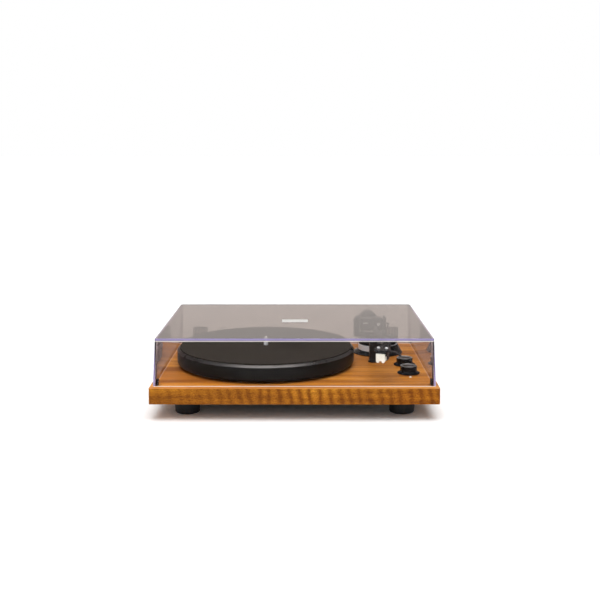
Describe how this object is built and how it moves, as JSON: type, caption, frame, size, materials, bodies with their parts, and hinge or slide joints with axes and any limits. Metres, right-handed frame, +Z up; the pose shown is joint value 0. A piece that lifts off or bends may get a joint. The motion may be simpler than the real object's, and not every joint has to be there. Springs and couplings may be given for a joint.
{
  "type": "turntable record player",
  "caption": "Belt-drive record player with a wooden plinth, round platter, gimballed tonearm, side knobs and a hinged clear dust cover.",
  "frame": {"origin": "on the floor, under the middle of the object's box, with the feet standing on it", "axes": "+X to the right of someone at the front, +Y towards the hinges and sockets at the back, +Z up"},
  "size_m": [0.44, 0.355, 0.1243],
  "materials": {
    "plinth_veneer": "satin",
    "black_board": "matte",
    "foot_rubber": "matte",
    "belt_rubber": "matte",
    "platter_black": "satin",
    "mat_felt": "matte",
    "steel": "polished",
    "weight_steel": "satin",
    "brass": "satin",
    "silver_aluminium": "satin",
    "arm_black": "satin",
    "arm_gloss": "gloss",
    "black_plastic": "satin",
    "gloss_black": "gloss",
    "inner_plastic": "matte",
    "lens_plastic": "gloss",
    "ivory_plastic": "satin",
    "panel_black": "matte",
    "board_green": "satin",
    "clear_acrylic": "polished"
  },
  "bodies": {
    "chassis": {"plinth": "plinth_veneer", "bottom_cover": "black_board", "foot_front_left": "foot_rubber", "foot_front_right": "foot_rubber", "foot_rear_left": "foot_rubber", "foot_rear_right": "foot_rubber", "bearing_housing": "brass", "motor_can": "steel", "drive_belt": "belt_rubber", "volume_pot": "inner_plastic", "selector_switch": "inner_plastic", "power_lens": "lens_plastic", "hinge_base_left": "black_plastic", "hinge_base_right": "black_plastic", "hinge_pin_left": "steel", "hinge_pin_right": "steel", "arm_base_skirt": "gloss_black", "arm_base_ring": "silver_aluminium", "arm_base_top": "black_plastic", "arm_pillar": "arm_black", "pillar_nut": "steel", "armrest_post": "black_plastic", "rear_panel": "panel_black", "rca_jack_left": "silver_aluminium", "rca_jack_right": "silver_aluminium", "speaker_terminals": "black_plastic", "dc_inlet": "black_plastic", "amplifier_board": "board_green"},
    "platter": {"platter": "platter_black", "slip_mat": "mat_felt", "spindle": "steel"},
    "motor_rotor": {"motor_pulley": "brass", "motor_shaft": "steel"},
    "cover": {"dust_cover": "clear_acrylic", "cover_badge": "silver_aluminium", "cover_bumper_left": "foot_rubber", "cover_bumper_right": "foot_rubber", "hinge_leaf_left": "black_plastic", "hinge_leaf_right": "black_plastic"},
    "volume_control": {"volume_knob": "black_plastic", "volume_shaft": "silver_aluminium"},
    "selector_control": {"selector_knob": "black_plastic", "selector_shaft": "silver_aluminium"},
    "arm_yoke": {"gimbal_yoke": "black_plastic", "yoke_spindle": "steel"},
    "tonearm": {"bearing_block": "arm_black", "arm_tube": "arm_black", "rear_stub": "steel", "headshell": "arm_gloss", "headshell_screw_left": "steel", "headshell_screw_right": "steel", "finger_lift": "arm_gloss", "cartridge_body": "black_plastic", "stylus": "ivory_plastic"},
    "tracking_dial": {"force_dial": "black_plastic"},
    "balance_weight": {"counterweight": "weight_steel"},
    "lift_lever": {"cue_lever": "arm_black"},
    "lift_bar": {"cue_lift": "black_plastic"},
    "rest_clip": {"arm_clip": "black_plastic"},
    "skate_control": {"anti_skate_dial": "black_plastic"}
  },
  "joints": [
    {"name": "platter_spin", "type": "hinge", "parent": "chassis", "child": "platter", "pos_m": [-0.049, -0.0045, 0.05], "axis": [0, 0, -1], "continuous": true},
    {"name": "motor_spin", "type": "hinge", "parent": "chassis", "child": "motor_rotor", "pos_m": [-0.15119, 0.0545, 0.05], "axis": [0, 0, -1], "continuous": true},
    {"name": "cover_hinge", "type": "hinge", "parent": "chassis", "child": "cover", "pos_m": [0, 0.169, 0.057], "axis": [-1, 0, 0], "range_deg": [0, 65]},
    {"name": "volume_turn", "type": "hinge", "parent": "chassis", "child": "volume_control", "pos_m": [0.183, -0.02, 0.05], "axis": [0, 0, -1], "range_deg": [0, 300]},
    {"name": "selector_turn", "type": "hinge", "parent": "chassis", "child": "selector_control", "pos_m": [0.183, -0.0785, 0.05], "axis": [0, 0, -1], "range_deg": [-45, 45]},
    {"name": "arm_swing", "type": "hinge", "parent": "chassis", "child": "arm_yoke", "pos_m": [0.135, 0.0805, 0.098], "axis": [0, 0, -1], "range_deg": [0, 50]},
    {"name": "arm_tilt", "type": "hinge", "parent": "arm_yoke", "child": "tonearm", "pos_m": [0.135, 0.0805, 0.098], "axis": [-0.9984, -0.057, 0], "range_deg": [0, 4]},
    {"name": "counterweight_travel", "type": "slide", "parent": "tonearm", "child": "tracking_dial", "axis": [-0.057, 0.9984, 0], "range_m": [-0.002, 0.002]},
    {"name": "counterweight_turn", "type": "hinge", "parent": "tracking_dial", "child": "balance_weight", "pos_m": [0.135, 0.0805, 0.098], "axis": [-0.057, 0.9984, 0], "range_deg": [-360, 360]},
    {"name": "lever_turn", "type": "hinge", "parent": "chassis", "child": "lift_lever", "pos_m": [0.17, 0.066, 0.0765], "axis": [-1, 0, 0], "range_deg": [0, 60]},
    {"name": "lift_rise", "type": "slide", "parent": "chassis", "child": "lift_bar", "axis": [0, 0, 1], "range_m": [0, 0.0052]},
    {"name": "clip_turn", "type": "hinge", "parent": "chassis", "child": "rest_clip", "pos_m": [0.14894, 0.00317, 0.099], "axis": [0.057, -0.9984, 0], "range_deg": [0, 105]},
    {"name": "anti_skate_turn", "type": "hinge", "parent": "chassis", "child": "skate_control", "pos_m": [0.168, 0.094, 0.0723], "axis": [0, 0, -1], "range_deg": [0, 240]}
  ],
  "couplings": [
    {"joint": "motor_spin", "follows": "platter_spin", "ratio": 17.454},
    {"joint": "counterweight_travel", "follows": "counterweight_turn", "m_per_rad": 0.00031831},
    {"joint": "lift_rise", "follows": "lever_turn", "m_per_rad": 0.0049656}
  ]
}
